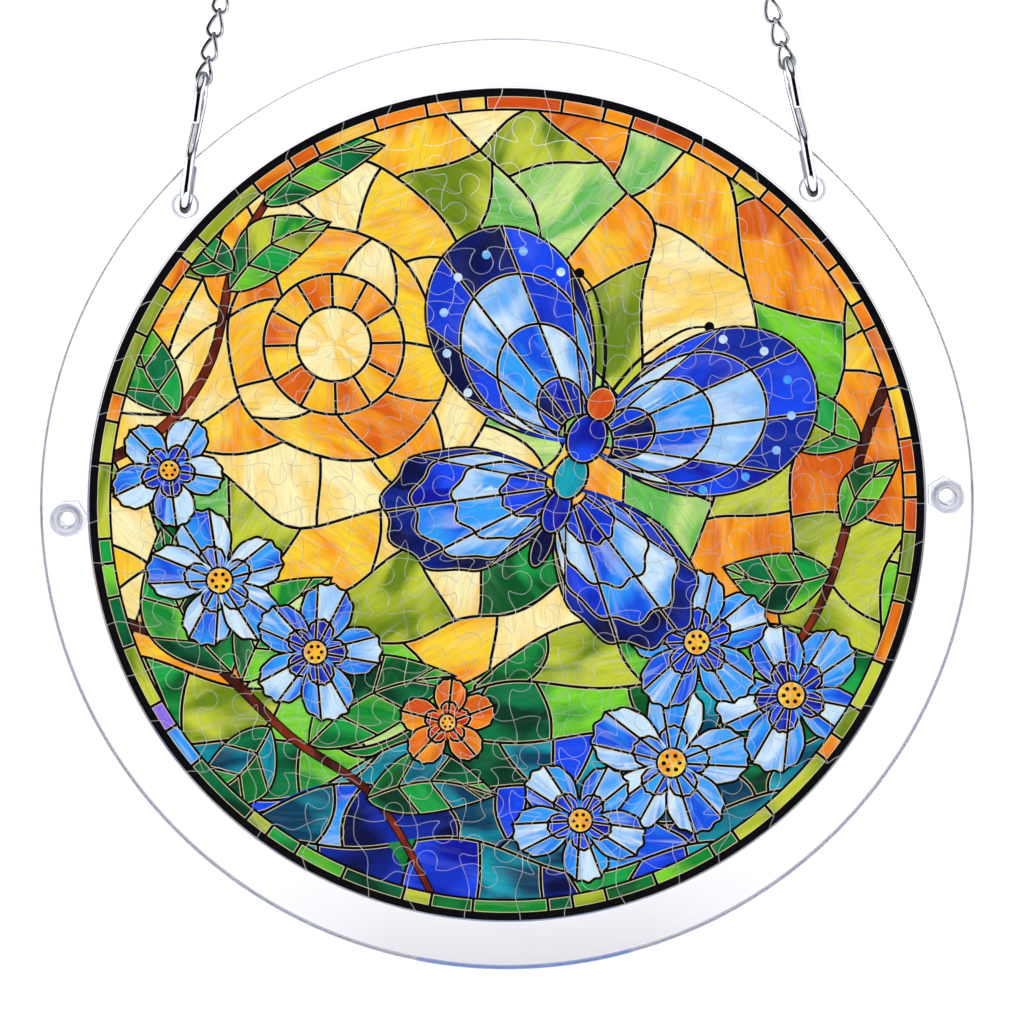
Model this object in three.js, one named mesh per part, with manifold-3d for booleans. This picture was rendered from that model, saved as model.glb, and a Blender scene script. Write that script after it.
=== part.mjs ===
// An acrylic puzzle suncatcher: a round printed puzzle lies in a clear spacer ring between two clear covers,
// which two clear screws hold together. Two S-hooks carry the stack on two chains that meet in a ring.
// Millimetres, +Z up, +X right, and the front faces -Y. The origin is where the ring bears on its nail.
import * as THREE from "three";
import { mergeVertices } from "three/addons/utils/BufferGeometryUtils.js";
import Module from "manifold-3d";

// The clear stack
const DISC_R = 100; // outer radius of the covers and of the spacer ring
const COVER_T = 1.8; // thickness of one cover
const HOLE_R = 2.5; // radius of a hanging hole
const OUTER_WALL = 3.3; // acrylic left between a hole and the rim
const INNER_WALL = 1.9; // acrylic left between a hole and the puzzle's pocket
const HOLE_ANGLE = 45.2; // degrees from the top to each hanging hole
const RIM_SIDES = 56; // flats on each large circle
const HOLE_SIDES = 10; // flats on each small circle

// The puzzle
const PUZZLE_T = 3; // thickness of the printed pieces
const PUZZLE_PLAY = 0.2; // gap from the pieces to each cover
const POCKET_PLAY = 0.3; // gap from the pieces to the spacer ring
const KERF = 0.3; // width of a saw line between pieces
const PIECES_ACROSS = 16; // pieces in the widest row
const SECTION_PIECES = 4; // pieces across one section of the puzzle
const WANDER = 1.3; // how far a corner where four pieces meet strays from a plain grid
const KNOB_R = 2.6; // radius of a locking knob
const KNOB_RISE = 3.1; // from the saw line to the knob's centre
const KNOB_NECK = 1.5; // half the width of a knob's neck
const KNOB_ARC = 250; // degrees of the knob's round end
const KNOB_POINTS = 5; // points on the knob's round end

// The clear screws and nuts
const SHANK_R = 1.9;
const SHANK_PLAY = 0.25; // radial gap from the shank to its holes
const HEAD_R = 3.5;
const HEAD_H = 2.4;
const RECESS_DEPTH = 1.1;
const RECESS_ARM = 2; // from the screw's axis to the end of one arm of the cross
const RECESS_W = 0.8;
const NUT_FLATS = 7; // across the nut's flats
const NUT_T = 3.2;
const SCREW_TAIL = 0.6; // how far the shank stands out of its nut
const TURN_SIDES = 12; // flats on a turned surface
const NUT_TURNS = { left: 0, right: 30 }; // degrees that each nut was left at

// The S-hooks
const HOOK_WIRE = 2.2;
const HOOK_LENGTH = 30.6; // from end to end over the wire
const HOOK_PLAY = 0.9; // gap from a loop to each face of the stack
const HOOK_LEAN = 9.8; // degrees that each hook leans inwards
const FRONT_LEG = 10.9; // height of the upper loop's open side, over the wire
const BACK_LEG = 10; // height of the lower loop's open side, over the wire
const SHAFT_CLEAR = 0.7; // how far the shaft runs straight past the disc's rim
const SEAT_GAP = 0.3; // gap where metal bears on its neighbour
const BEND_POINTS = 6; // steps around one loop
const HOOK_STEPS = 24;
const HOOK_SIDES = 8;

// The chains and their ring
const LINK_WIRE = 0.9;
const LINK_LENGTH = 6.7; // over the wire
const LINK_WIDTH = 4.4; // over the wire
const LINK_BITE = 0.15; // how far each link presses into the next, which joins them
const LINKS = 48; // links in one chain
const LINK_TWIST = 90; // degrees from one end of a link to the other
const LINK_RIDGE = 0.5; // from the wire's middle line to the ridge of its three-sided section
const LINK_SIDES = 3; // flats around a link's wire
const LINK_POINTS = 6; // corners along a twisted link
const END_LINK_POINTS = 12; // corners along the plain link at each end
const RING_INNER_R = 6;
const RING_WIRE = 2;
const RING_SIDES = 8;
const RING_POINTS = 16;

// Sizes that follow from the ones above
const spacerT = PUZZLE_T + 2 * PUZZLE_PLAY;
const stackT = spacerT + 2 * COVER_T;
const pocketR = DISC_R - OUTER_WALL - 2 * HOLE_R - INNER_WALL;
const puzzleR = pocketR - POCKET_PLAY;
const holeCircleR = DISC_R - OUTER_WALL - HOLE_R;
const screwHoleR = SHANK_R + SHANK_PLAY;
const loopR = stackT / 2 + HOOK_PLAY + HOOK_WIRE / 2;
const upperLoopZ = HOOK_LENGTH - HOOK_WIRE - 2 * loopR;
const linkPitch = LINK_LENGTH - LINK_WIRE - 2 * LINK_RIDGE + LINK_BITE;
const chainRun = (LINKS - 1) * linkPitch + LINK_LENGTH - LINK_WIRE;

const CLEAR = new THREE.MeshStandardMaterial({
  color: 0xf2f6fb,
  roughness: 0.04,
  metalness: 0,
  transparent: true,
  opacity: 0.3,
});
const STEEL = new THREE.MeshStandardMaterial({ color: 0xb9bcc0, roughness: 0.12, metalness: 1 });
const PRINT_COLOURS = [0x2f6fd0, 0xe0a63a, 0x3f8f4a, 0x123a8c];

const wasm = await Module();
wasm.setup();
const rad = THREE.MathUtils.degToRad;

// Turns a closed three.js geometry into a solid, with its faces pointing out.
function solidOf(geometry) {
  const bare = geometry.clone();
  bare.deleteAttribute("normal");
  bare.deleteAttribute("uv");
  const merged = mergeVertices(bare, 1e-4);
  const build = (triVerts) => {
    const vertProperties = merged.attributes.position.array;
    return new wasm.Manifold(new wasm.Mesh({ numProp: 3, vertProperties, triVerts }));
  };
  const solid = build(Uint32Array.from(merged.index.array));
  if (solid.volume() > 0) return solid;
  return build(Uint32Array.from(merged.index.array).reverse());
}

function geometryOf(solid) {
  const mesh = solid.getMesh();
  const geometry = new THREE.BufferGeometry();
  geometry.setAttribute("position", new THREE.BufferAttribute(mesh.vertProperties, 3));
  geometry.setIndex(new THREE.BufferAttribute(mesh.triVerts, 1));
  geometry.computeVertexNormals();
  return geometry;
}

function addPiece(group, name, geometry, material) {
  const mesh = new THREE.Mesh(geometry, material);
  mesh.name = name;
  group.add(mesh);
  return mesh;
}

// A regular polygon's points around (x, z), on or in a circle of the given radius.
function circlePoints(radius, sides, x = 0, z = 0, turn = 0) {
  return Array.from({ length: sides }, (_, k) => {
    const angle = turn + (2 * Math.PI * k) / sides;
    return new THREE.Vector2(x + radius * Math.cos(angle), z + radius * Math.sin(angle));
  });
}

// Extrudes an outline in X and Z from y = front to y = back.
function slab(outline, holes, front, back) {
  const shape = new THREE.Shape(outline);
  shape.holes = holes.map((points) => new THREE.Path(points));
  const geometry = new THREE.ExtrudeGeometry(shape, { depth: back - front, bevelEnabled: false });
  return geometry.rotateX(Math.PI / 2).translate(0, back, 0);
}

// The hanging hole's centre in the disc's own X and Z. side is -1 on the left and 1 on the right.
function hangingHole(side) {
  const angle = rad(HOLE_ANGLE);
  return new THREE.Vector2(side * holeCircleR * Math.sin(angle), holeCircleR * Math.cos(angle));
}

function stackHoles() {
  const holes = [];
  for (const side of [-1, 1]) {
    const hole = hangingHole(side);
    holes.push(circlePoints(HOLE_R, HOLE_SIDES, hole.x, hole.y));
    holes.push(circlePoints(screwHoleR, HOLE_SIDES, side * holeCircleR, 0));
  }
  return holes;
}

function addStack(group) {
  const rim = circlePoints(DISC_R, RIM_SIDES);
  const pocket = circlePoints(pocketR, RIM_SIDES);
  const outside = stackT / 2;
  const inside = spacerT / 2;
  addPiece(group, "front_cover", slab(rim, stackHoles(), -outside, -inside), CLEAR);
  addPiece(group, "spacer_ring", slab(rim, [pocket, ...stackHoles()], -inside, inside), CLEAR);
  addPiece(group, "back_cover", slab(rim, stackHoles(), inside, outside), CLEAR);
}

// The corner where the puzzle's pieces meet, for saw lines i and j from 0 to PIECES_ACROSS. The sines' steps
// have no common measure, so that the corners stray without repeating.
function pieceCorner(i, j) {
  const pitch = (2 * puzzleR) / PIECES_ACROSS;
  const x = (i - PIECES_ACROSS / 2) * pitch + WANDER * Math.sin(2.1 * i + 3.7 * j);
  const z = (j - PIECES_ACROSS / 2) * pitch + WANDER * Math.sin(4.3 * i + 1.9 * j + 1);
  return new THREE.Vector2(x, z);
}

// The knob on the saw line from a to b. It stands out to the left of the line, or to the right for side -1.
function knob(a, b, side) {
  const along = b.clone().sub(a).normalize();
  const out = new THREE.Vector2(-along.y, along.x).multiplyScalar(side);
  const middle = a.clone().lerp(b, 0.5);
  const at = (u, v) => middle.clone().addScaledVector(along, u).addScaledVector(out, v);
  const points = [at(-KNOB_NECK, 0)];
  for (let k = 0; k < KNOB_POINTS; k++) {
    const angle = rad(90 + KNOB_ARC / 2 - (KNOB_ARC * k) / (KNOB_POINTS - 1));
    points.push(at(KNOB_R * Math.cos(angle), KNOB_RISE + KNOB_R * Math.sin(angle)));
  }
  points.push(at(KNOB_NECK, 0));
  return points;
}

// A saw line between sections, with one knob in each section's side, on the piece nearer the middle.
function sawLine(corner) {
  const points = [];
  for (let k = 0; k < PIECES_ACROSS; k++) {
    const section = Math.floor(k / SECTION_PIECES);
    const lower = section < PIECES_ACROSS / SECTION_PIECES / 2;
    const place = SECTION_PIECES / 2 + (lower ? 0 : -1);
    points.push(corner(k));
    if (k % SECTION_PIECES === place) {
      points.push(...knob(corner(k), corner(k + 1), section % 2 ? 1 : -1));
    }
  }
  points.push(corner(PIECES_ACROSS));
  return points;
}

// The outline of a saw line as wide as the kerf.
function kerfOutline(points) {
  const shifted = (side) =>
    points.map((point, k) => {
      const before = points[Math.max(k - 1, 0)];
      const after = points[Math.min(k + 1, points.length - 1)];
      const into = point.clone().sub(before).normalize();
      const onward = after.clone().sub(point).normalize();
      const along = into.add(onward).normalize();
      const normal = new THREE.Vector2(-along.y, along.x);
      return point.clone().addScaledVector(normal, (side * KERF) / 2);
    });
  return [...shifted(1), ...shifted(-1).reverse()];
}

function addPuzzle(group) {
  const half = PUZZLE_T / 2;
  let puzzle = solidOf(slab(circlePoints(puzzleR, RIM_SIDES), [], -half, half));
  for (let line = SECTION_PIECES; line < PIECES_ACROSS; line += SECTION_PIECES) {
    for (const corner of [(k) => pieceCorner(line, k), (k) => pieceCorner(k, line)]) {
      puzzle = puzzle.subtract(solidOf(slab(kerfOutline(sawLine(corner)), [], -PUZZLE_T, PUZZLE_T)));
    }
  }
  const sectionSize = (2 * puzzleR * SECTION_PIECES) / PIECES_ACROSS;
  const place = (low, high) => Math.floor(((low + high) / 2 + puzzleR) / sectionSize) + 1;
  for (const section of puzzle.decompose()) {
    const box = section.boundingBox();
    const column = place(box.min[0], box.max[0]);
    const row = place(-box.max[2], -box.min[2]);
    const color = PRINT_COLOURS[(row + 2 * column) % PRINT_COLOURS.length];
    const material = new THREE.MeshStandardMaterial({ color, roughness: 0.25, metalness: 0 });
    addPiece(group, `puzzle_section_row_${row}_column_${column}`, geometryOf(section), material);
  }
}

// A pan-head screw with a cross recess. Its head bears on the front cover and its shank runs to the back.
function screwGeometry() {
  const tail = stackT + NUT_T + SCREW_TAIL;
  const chamfer = SHANK_R / 5;
  const profile = [
    [0, -HEAD_H],
    [HEAD_R * 0.6, -HEAD_H],
    [HEAD_R * 0.92, -HEAD_H * 0.7],
    [HEAD_R, -HEAD_H * 0.3],
    [HEAD_R, 0],
    [SHANK_R, 0],
    [SHANK_R, tail - chamfer],
    [SHANK_R - chamfer, tail],
    [0, tail],
  ].map(([radius, y]) => new THREE.Vector2(radius, y));
  let screw = solidOf(new THREE.LatheGeometry(profile, TURN_SIDES));
  const arm = new THREE.BoxGeometry(2 * RECESS_ARM, 2 * RECESS_DEPTH, RECESS_W);
  arm.translate(0, -HEAD_H, 0);
  screw = screw.subtract(solidOf(arm)).subtract(solidOf(arm.rotateY(Math.PI / 2)));
  return geometryOf(screw);
}

function nutGeometry(turn) {
  const corners = circlePoints(NUT_FLATS / 2 / Math.cos(Math.PI / 6), 6, 0, 0, rad(turn));
  return slab(corners, [circlePoints(screwHoleR, HOLE_SIDES)], stackT / 2, stackT / 2 + NUT_T);
}

function addFasteners(group) {
  for (const [sideName, side] of [["left", -1], ["right", 1]]) {
    const screw = addPiece(group, `screw_${sideName}`, screwGeometry(), CLEAR);
    screw.position.set(side * holeCircleR, -stackT / 2, 0);
    const nut = addPiece(group, `nut_${sideName}`, nutGeometry(NUT_TURNS[sideName]), CLEAR);
    nut.position.set(side * holeCircleR, 0, 0);
  }
}

// How far its hole's centre lies below a hook's lower loop centre, along the hook. The hole's two edges bear
// on the inside of the loop.
function holeDrop() {
  const inner = loopR - HOOK_WIRE / 2 - SEAT_GAP;
  return Math.sqrt(inner ** 2 - (stackT / 2) ** 2) + HOLE_R;
}

// How far the disc's rim lies above a hook's lower loop centre, along the leaning hook.
function rimRise() {
  const between = rad(HOLE_ANGLE + HOOK_LEAN);
  const toward = holeCircleR * Math.cos(between);
  return Math.sqrt(toward ** 2 + DISC_R ** 2 - holeCircleR ** 2) - toward - holeDrop();
}

// The S-hook's middle line in its own plane: the lower loop goes under the rim to the back, and the upper
// loop opens to the front.
function hookPath() {
  const points = [];
  const add = (y, z) => points.push(new THREE.Vector3(0, y, z));
  const bend = (centreZ, side) => {
    for (let k = 0; k <= BEND_POINTS; k++) {
      const angle = (side * Math.PI * k) / BEND_POINTS;
      add(loopR * Math.cos(angle), centreZ + loopR * Math.sin(angle));
    }
  };
  const shaftZ = rimRise() + SHAFT_CLEAR;
  add(loopR, BACK_LEG - loopR - HOOK_WIRE / 2);
  bend(0, -1);
  add(-loopR, shaftZ);
  add(0, (shaftZ + upperLoopZ) / 2);
  bend(upperLoopZ, 1);
  add(-loopR, upperLoopZ + loopR + HOOK_WIRE / 2 - FRONT_LEG);
  return new THREE.CatmullRomCurve3(points);
}

function hookGeometry() {
  const section = new THREE.Shape(circlePoints(HOOK_WIRE / 2, HOOK_SIDES));
  const options = { extrudePath: hookPath(), steps: HOOK_STEPS, bevelEnabled: false };
  return geometryOf(solidOf(new THREE.ExtrudeGeometry(section, options)));
}

// One closed link, long in Z, turned about Z by fromTurn at its lower end and toTurn at its upper end. Its
// ends are flats, and the ridge of its three-sided wire is on the inside, where the next link bears.
function linkGeometry(corners, fromTurn, toTurn) {
  const run = LINK_LENGTH - LINK_WIRE;
  const toFlat = Math.cos(Math.PI / corners);
  const radius = (LINK_WIDTH - LINK_WIRE) / 2 / (corners % 4 ? 1 : toFlat);
  const stretch = run / 2 - radius * toFlat;
  const link = new THREE.TorusGeometry(radius, -LINK_RIDGE, LINK_SIDES, corners);
  link.rotateZ(Math.PI / 2 - Math.PI / corners).rotateX(Math.PI / 2);
  const place = link.attributes.position;
  for (let k = 0; k < place.count; k++) {
    const level = place.getZ(k);
    const z = level + (Math.abs(level) < LINK_WIRE / 4 ? 0 : Math.sign(level) * stretch);
    const turn = rad(fromTurn + (toTurn - fromTurn) * (z / run + 0.5));
    const x = place.getX(k);
    const y = place.getY(k);
    place.setXYZ(k, x * Math.cos(turn) - y * Math.sin(turn), x * Math.sin(turn) + y * Math.cos(turn), z);
  }
  return link;
}

// One chain as a single body, from its lowest link's middle line at z = 0 upwards.
function chainGeometry() {
  let chain = null;
  for (let k = 0; k < LINKS; k++) {
    const first = k === 0;
    const last = k === LINKS - 1;
    const corners = first || last ? END_LINK_POINTS : LINK_POINTS;
    const lower = first ? 0 : -LINK_TWIST;
    const upper = last ? -LINK_TWIST : 0;
    const link = linkGeometry(corners, lower, upper);
    link.translate(0, 0, (LINK_LENGTH - LINK_WIRE) / 2 + k * linkPitch);
    chain = chain ? chain.add(solidOf(link)) : solidOf(link);
  }
  return geometryOf(chain);
}

// The hooks stand in their holes, and each chain runs straight from its hook to the ring.
function addHangers(group) {
  const lean = rad(HOOK_LEAN);
  const hookUp = new THREE.Vector2(Math.sin(lean), Math.cos(lean));
  const bearing = loopR - HOOK_WIRE / 2 - LINK_RIDGE - SEAT_GAP;
  const linkFoot = hangingHole(-1).addScaledVector(hookUp, upperLoopZ + bearing + holeDrop());
  const ringReach = RING_INNER_R - LINK_RIDGE - SEAT_GAP;
  const run = ringReach + chainRun;
  const chainRise = Math.sqrt(run ** 2 - linkFoot.x ** 2);
  const chainLean = Math.asin(-linkFoot.x / run);
  const ringZ = -RING_INNER_R;
  const discZ = ringZ - chainRise - linkFoot.y;

  const ring = new THREE.TorusGeometry(RING_INNER_R + RING_WIRE / 2, RING_WIRE / 2, RING_SIDES, RING_POINTS);
  addPiece(group, "hanging_ring", ring.rotateX(Math.PI / 2).translate(0, 0, ringZ), STEEL);

  for (const [sideName, side] of [["left", -1], ["right", 1]]) {
    const hole = hangingHole(side);
    const hook = addPiece(group, `s_hook_${sideName}`, hookGeometry(), STEEL);
    hook.rotation.y = -side * lean;
    hook.position.set(hole.x - side * holeDrop() * hookUp.x, 0, discZ + hole.y + holeDrop() * hookUp.y);
    const chain = addPiece(group, `chain_${sideName}`, chainGeometry(), STEEL);
    chain.rotation.y = -side * chainLean;
    chain.position.set(-side * linkFoot.x, 0, discZ + linkFoot.y);
  }
  return discZ;
}

const suncatcher = new THREE.Group();
const disc = new THREE.Group();
disc.position.z = addHangers(suncatcher);
addStack(disc);
addPuzzle(disc);
addFasteners(disc);
suncatcher.add(disc);

export default suncatcher;
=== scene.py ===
# Looks of an acrylic puzzle suncatcher: clear covers, a sawn and printed puzzle, clear screws, S-hooks,
# twisted chains and their ring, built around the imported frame. Outlines, the print and the saw lines are
# worked out in millimetres around the disc's centre, and every mesh is made in metres.
from collections import defaultdict
from math import atan2, cos, degrees, pi, radians, sin, sqrt

import bpy
import numpy as np
from mathutils import Matrix, Vector
from mathutils.geometry import delaunay_2d_cdt


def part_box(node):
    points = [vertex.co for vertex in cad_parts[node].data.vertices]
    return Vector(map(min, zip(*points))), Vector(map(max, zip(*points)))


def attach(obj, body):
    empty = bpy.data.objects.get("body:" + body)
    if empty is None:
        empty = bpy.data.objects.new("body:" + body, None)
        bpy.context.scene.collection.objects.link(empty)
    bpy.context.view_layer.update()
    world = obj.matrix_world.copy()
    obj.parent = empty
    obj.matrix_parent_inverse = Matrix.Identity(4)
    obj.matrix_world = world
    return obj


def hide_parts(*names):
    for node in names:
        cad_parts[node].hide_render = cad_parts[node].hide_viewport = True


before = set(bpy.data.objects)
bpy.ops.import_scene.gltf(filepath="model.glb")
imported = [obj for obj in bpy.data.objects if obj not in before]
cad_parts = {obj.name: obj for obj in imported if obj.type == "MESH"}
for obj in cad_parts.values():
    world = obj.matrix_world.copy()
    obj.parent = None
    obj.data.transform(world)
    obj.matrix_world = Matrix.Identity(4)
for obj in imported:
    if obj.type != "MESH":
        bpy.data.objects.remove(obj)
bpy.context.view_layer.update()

MM = 0.001
SIDES = (("left", -1), ("right", 1))


def span_mm(node):
    """A node's box in millimetres: its lowest and highest corners."""
    low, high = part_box(node)
    return [v / MM for v in low], [v / MM for v in high]


# The stack, read from the frame
SECTIONS = 4  # sections across the puzzle
cover_low, cover_high = span_mm("front_cover")
places = [(row, column) for row in range(SECTIONS) for column in range(SECTIONS)]
section_names = {(j, i): f"puzzle_section_row_{SECTIONS - j}_column_{i + 1}" for j, i in places}
section_spans = [span_mm(name) for name in section_names.values()]
DISC_Z = (cover_low[2] + cover_high[2]) / 2
DISC_R = (cover_high[0] - cover_low[0]) / 2
HALF_STACK = -cover_low[1]
PUZZLE_R = max(high[0] for low, high in section_spans)
HALF_PUZZLE = max(high[1] for low, high in section_spans)
SCREW_X = sum(corner[0] for corner in span_mm("screw_right")) / 2

# Sizes that repeat the frame's, in millimetres
HOLE_R = 2.5  # hanging holes
HOLE_PLACE = (66.84, 66.38)  # from the disc's centre, to the side and up
SCREW_HOLE_R = 2.15
POCKET_R = 89.8
EDGE_BREAK = 0.25  # bevel around the clear discs
HOLE_BREAK = 0.3  # and around their small holes
POCKET_BREAK = 0.04
NUT_BREAK = 0.3
AIR_FILM = 0.02  # the thin film of air left between the clear discs

SHANK_R = 1.9
THREAD_PITCH = 0.7
THREAD_DEPTH = 0.25
HEAD_R = 3.5
HEAD_H = 2.4
HEAD_FLAT = 0.55  # share of the head's radius that is flat
HEAD_ROUND = 0.75  # share of its height that is rounded
RECESS_DEPTH = 1.1
RECESS_ARM = 2.0
RECESS_W = 0.8
NUT_FLATS = 7.0
NUT_TURNS = {"left": 0.0, "right": 30.0}

HOOK_WIRE = 2.2
HOOK_LOOP_R = 5.5
HOOK_UPPER_Z = 17.4  # from the lower loop's centre to the upper one's
HOOK_LEAN = 9.8  # degrees inwards
BACK_TIP_Z = 3.4
SHAFT_Z = 5.64  # where the shaft leaves the front of the lower loop
FRONT_TIP_Z = 13.1

LINKS = 48
LINK_WIRE = 0.88
LINK_LENGTH = 6.7
LINK_WIDTH = 4.4
LINK_TWIST = 90.0
CHAIN_FOOT = (62.48, 91.64)  # the lowest link's wire from the disc's centre, to the side and up
CHAIN_SEAT = 0.33  # the fine wire bears this much higher in the hook
RING_R = 7.0  # middle line
RING_WIRE = 2.0

# The saw lines
PIECES_ACROSS = 16
WANDER = 1.3
KERF = 0.05
CHAMFER = 0.07
CHAMFER_DEPTH = 0.06
BROKEN_PALE = 0.34  # how far the saw bleaches the print at a piece's edge
RIM_REACH = 4.0  # how far the outermost corners lie past the lattice, outside the puzzle's rim
KNOB_R = 2.3
KNOB_RISE = 2.4
KNOB_NECK = 1.25
KNOB_ARC = 255
RIM_CLEAR = 6.5  # knobs keep this far from the puzzle's rim
SLIVER = 45.0  # square millimetres: smaller rim pieces join their neighbour

# The print
BLACK_RING = 1.8
TILE_RING = 2.5
RING_LINE = 0.55
CAME = 0.62  # black lines between the cells
HIGHLIGHT = 0.13  # cream line inside each black one


# Colours and node helpers


def linear(code, alpha=1.0):
    """A display colour such as "1d4fd8" as linear red, green, blue and alpha."""
    values = [int(code[i : i + 2], 16) / 255 for i in (0, 2, 4)]
    return [v / 12.92 if v <= 0.04045 else ((v + 0.055) / 1.055) ** 2.4 for v in values] + [alpha]


class Nodes:
    """Short calls for building one material's or world's node tree."""

    def __init__(self, tree):
        self.tree = tree
        tree.nodes.clear()

    def add(self, kind, **inputs):
        """A new shader node of this kind, with its inputs linked or set."""
        node = self.tree.nodes.new(f"ShaderNode{kind}")
        for name, value in inputs.items():
            self.set(node, name, value)
        return node

    def set(self, node, name, value):
        """Links or sets an input. Its name has _ for a space, or is in<number> for its place."""
        key = int(name[2:]) if name.startswith("in") and name[2:].isdigit() else name.replace("_", " ")
        if isinstance(value, bpy.types.NodeSocket):
            self.tree.links.new(value, node.inputs[key])
        else:
            node.inputs[key].default_value = value

    def math(self, operation, first, second=0.0):
        node = self.add("Math", in0=first, in1=second)
        node.operation = operation
        return node.outputs[0]

    def times(self, vector, factors):
        node = self.add("VectorMath", in0=vector, in1=factors)
        node.operation = "MULTIPLY"
        return node.outputs[0]

    def remap(self, value, low, high, new_low=0.0, new_high=1.0):
        node = self.add("MapRange", in0=value, in1=low, in2=high, in3=new_low, in4=new_high)
        return node.outputs[0]

    def mix(self, factor, first, second, blend="MIX"):
        node = self.add("Mix")
        node.data_type = "RGBA"
        node.blend_type = blend
        for place, value in ((0, factor), (6, first), (7, second)):
            self.set(node, f"in{place}", value)
        return node.outputs[2]

    def noise(self, vector, scale, detail=2.0, roughness=0.5, distortion=0.0):
        inputs = {"Vector": vector, "Scale": scale, "Detail": detail, "Roughness": roughness}
        return self.add("TexNoise", Distortion=distortion, **inputs).outputs[0]

    def place(self):
        return self.add("NewGeometry").outputs["Position"]

    def attribute(self, name):
        node = self.add("Attribute")
        node.attribute_name = name
        return node

    def bump(self, height, strength, distance):
        node = self.add("Bump", Strength=strength, Distance=distance, Height=height)
        return node.outputs["Normal"]


class Surface(Nodes):
    """One material and its nodes."""

    def __init__(self, name):
        self.material = bpy.data.materials.new(name)
        self.material.use_nodes = True
        super().__init__(self.material.node_tree)

    def finished(self, **inputs):
        """Adds the shader and the output, and returns the material."""
        shader = self.add("BsdfPrincipled", **inputs)
        self.add("OutputMaterial", Surface=shader.outputs[0])
        return self.material


def clear_material(name, tint, roughness, ior, ripple_scale, ripple_depth, alpha=1.0, clarity=1.0):
    """See-through plastic: plain values on the shader, with a ripple in its surface. A cut face scatters some
    of the light, so its clarity is lower."""
    nodes = Surface(name)
    ripple = nodes.noise(nodes.place(), ripple_scale, 2.0)
    return nodes.finished(
        Base_Color=tint,
        Roughness=roughness,
        IOR=ior,
        Transmission_Weight=clarity,
        Alpha=alpha,
        Normal=nodes.bump(ripple, 0.2, ripple_depth),
    )


def steel_material(name, dull, bright):
    """Polished steel with drawn lines and a few dull patches."""
    nodes = Surface(name)
    fine = nodes.noise(nodes.place(), 2600.0, 3.0)
    wide = nodes.noise(nodes.place(), 240.0, 2.0)
    return nodes.finished(
        Base_Color=nodes.mix(nodes.remap(wide, 0.35, 0.65), linear(dull), linear(bright)),
        Metallic=1.0,
        Roughness=nodes.remap(nodes.math("MULTIPLY", fine, wide), 0.1, 0.4, 0.04, 0.12),
        Normal=nodes.bump(fine, 0.12, 0.00004),
    )


def print_material():
    """Streaky window glass, printed on acrylic. The mesh carries each cell's two colours, how milky it is and
    the direction of its streaks, and the noise that mixes them is made here."""
    nodes = Surface("printed_acrylic")
    first = nodes.attribute("ink")
    second = nodes.attribute("ink_second")
    flow = nodes.attribute("flow").outputs["Vector"]
    milky = first.outputs["Alpha"]
    is_glass = second.outputs["Alpha"]
    broad = nodes.noise(nodes.times(flow, (0.05, 0.10, 7.3)), 1.0, 1.5, 0.5, 0.8)
    streak = nodes.noise(nodes.times(flow, (0.07, 0.5, 3.1)), 1.0, 2.5, 0.55, 0.5)
    thread = nodes.noise(nodes.times(flow, (0.2, 1.6, 5.7)), 1.0, 2.0, 0.55, 0.3)
    colour = nodes.mix(nodes.remap(broad, 0.40, 0.60), first.outputs["Color"], second.outputs["Color"])
    white_streak = nodes.math("MULTIPLY", nodes.remap(streak, 0.50, 0.68), milky)
    streak_colour = nodes.mix(0.5, first.outputs["Color"], linear("ffffff"))
    colour = nodes.mix(white_streak, colour, streak_colour)
    shade = nodes.remap(thread, 0.30, 0.60, 0.84, 1.0)
    shade = nodes.add("CombineColor", in0=shade, in1=shade, in2=shade).outputs[0]
    colour = nodes.mix(1.0, colour, shade, "MULTIPLY")
    colour = nodes.mix(is_glass, first.outputs["Color"], colour)
    return nodes.finished(
        Base_Color=colour,
        Roughness=nodes.remap(streak, 0.3, 0.7, 0.12, 0.2),
        Specular_IOR_Level=0.18,
        Normal=nodes.bump(streak, 0.1, 0.0001),
    )


def sawn_material():
    """The pale, melted edge that the saw leaves on every piece."""
    nodes = Surface("sawn_edge")
    grain = nodes.noise(nodes.place(), 3000.0, 3.0)
    return nodes.finished(
        Base_Color=nodes.mix(grain, linear("cfd8e2"), linear("f6f8fb")),
        Roughness=nodes.remap(grain, 0.3, 0.7, 0.35, 0.6),
        Normal=nodes.bump(grain, 0.3, 0.00005),
    )


def floor_material():
    nodes = Surface("pale_floor")
    mottle = nodes.noise(nodes.place(), 6.0, 3.0)
    return nodes.finished(
        Base_Color=nodes.mix(mottle, linear("f8f8f8"), linear("ffffff")),
        Roughness=0.9,
        Specular_IOR_Level=0.1,
    )


ACRYLIC = clear_material("clear_acrylic", linear("fdfdff"), 0.0, 1.49, 60.0, 0.00001)
CUT_EDGE = clear_material("cut_edge", linear("c2c4cc"), 0.22, 1.49, 300.0, 0.0001, clarity=0.75)
# A bluish tint painted on the lower rim's cut face: a painted reflection of the blue light from below.
PAINTED_BLUE_EDGE = clear_material("low_cut_edge", linear("8b9fd4"), 0.25, 1.49, 300.0, 0.0001, clarity=0.8)
DRILLED = clear_material("drilled_acrylic", linear("d2d4e2"), 0.45, 1.49, 700.0, 0.0001)
NYLON = clear_material("clear_nylon", linear("f8f9fc"), 0.12, 1.32, 800.0, 0.0007, 0.52)
STEEL = steel_material("polished_steel", "d2d3d6", "f0f1f3")
CHAIN_STEEL = steel_material("chain_steel", "94969b", "bcbec2")
PRINT = print_material()
SAWN = sawn_material()


# Meshes


def add_mesh(name, vertices, faces, material, smooth=False):
    """A new object from a mesh in millimetres."""
    mesh = bpy.data.meshes.new(name)
    mesh.from_pydata([tuple(v * MM for v in vertex) for vertex in vertices], [], faces)
    mesh.update()
    mesh.polygons.foreach_set("use_smooth", [smooth] * len(mesh.polygons))
    mesh.materials.append(material)
    piece = bpy.data.objects.new(name, mesh)
    bpy.context.collection.objects.link(piece)
    return piece


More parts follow.
